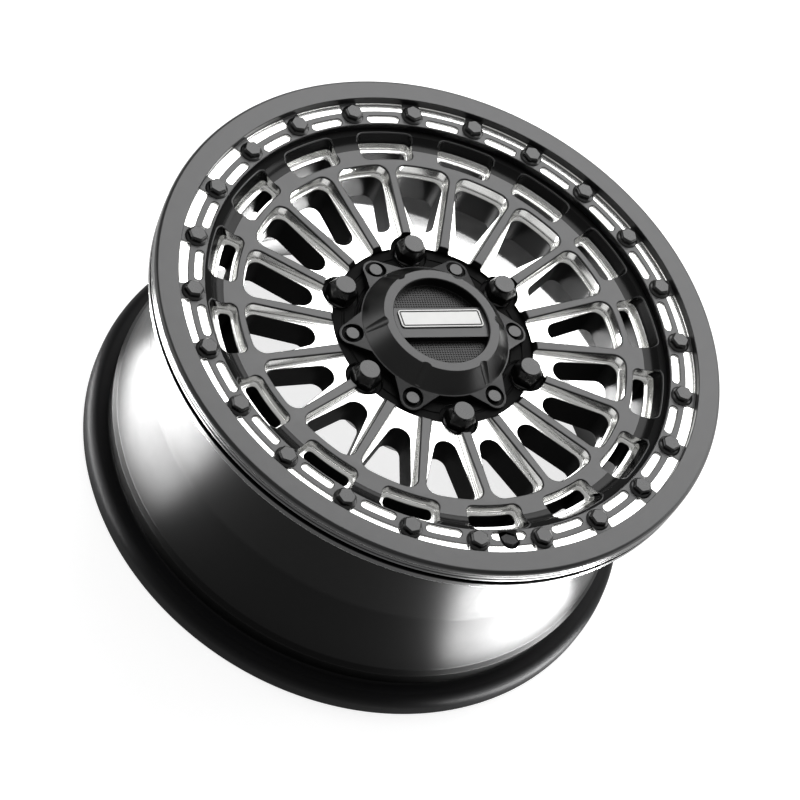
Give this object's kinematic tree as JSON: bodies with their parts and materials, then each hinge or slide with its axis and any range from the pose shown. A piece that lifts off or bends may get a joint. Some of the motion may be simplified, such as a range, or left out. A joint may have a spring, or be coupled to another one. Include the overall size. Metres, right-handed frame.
{
  "type": "beadlock wheel",
  "caption": "Off-road car wheel with a bolted beadlock ring, milled spoke windows, tall lug nuts, a screwed-on centre cap and a clamp-in valve.",
  "frame": {"origin": "centre of the plane that the inboard flange stands on", "axes": "+Z along the wheel's axis to the street side, +X through a lug nut"},
  "size_m": [0.4103, 0.4104, 0.1957],
  "materials": {
    "satin_black": "satin",
    "cap_black": "satin",
    "badge_white": "satin",
    "valve_metal": "black nickel",
    "rubber_black": "matt",
    "bolt_black": "black zinc",
    "nut_black": "gloss black",
    "screw_black": "black oxide"
  },
  "bodies": {
    "root": {"wheel_body": "satin_black", "beadlock_ring": "satin_black", "centre_cap": "cap_black", "cap_badge": "badge_white", "valve_stem": "valve_metal", "valve_seal": "rubber_black", "valve_washer": "valve_metal", "valve_nut": "valve_metal", "valve_cap": "valve_metal", "ring_bolt_01": "bolt_black", "ring_bolt_02": "bolt_black", "ring_bolt_03": "bolt_black", "ring_bolt_04": "bolt_black", "ring_bolt_05": "bolt_black", "ring_bolt_06": "bolt_black", "ring_bolt_07": "bolt_black", "ring_bolt_08": "bolt_black", "ring_bolt_09": "bolt_black", "ring_bolt_10": "bolt_black", "ring_bolt_11": "bolt_black", "ring_bolt_12": "bolt_black", "ring_bolt_13": "bolt_black", "ring_bolt_14": "bolt_black", "ring_bolt_15": "bolt_black", "ring_bolt_16": "bolt_black", "ring_bolt_17": "bolt_black", "ring_bolt_18": "bolt_black", "ring_bolt_19": "bolt_black", "ring_bolt_20": "bolt_black", "ring_bolt_21": "bolt_black", "ring_bolt_22": "bolt_black", "ring_bolt_23": "bolt_black", "ring_bolt_24": "bolt_black", "lug_nut_1": "nut_black", "lug_nut_2": "nut_black", "lug_nut_3": "nut_black", "lug_nut_4": "nut_black", "lug_nut_5": "nut_black", "lug_nut_6": "nut_black", "cap_screw_1": "screw_black", "cap_screw_2": "screw_black", "cap_screw_3": "screw_black", "cap_screw_4": "screw_black", "cap_screw_5": "screw_black", "cap_screw_6": "screw_black"}
  },
  "joints": []
}
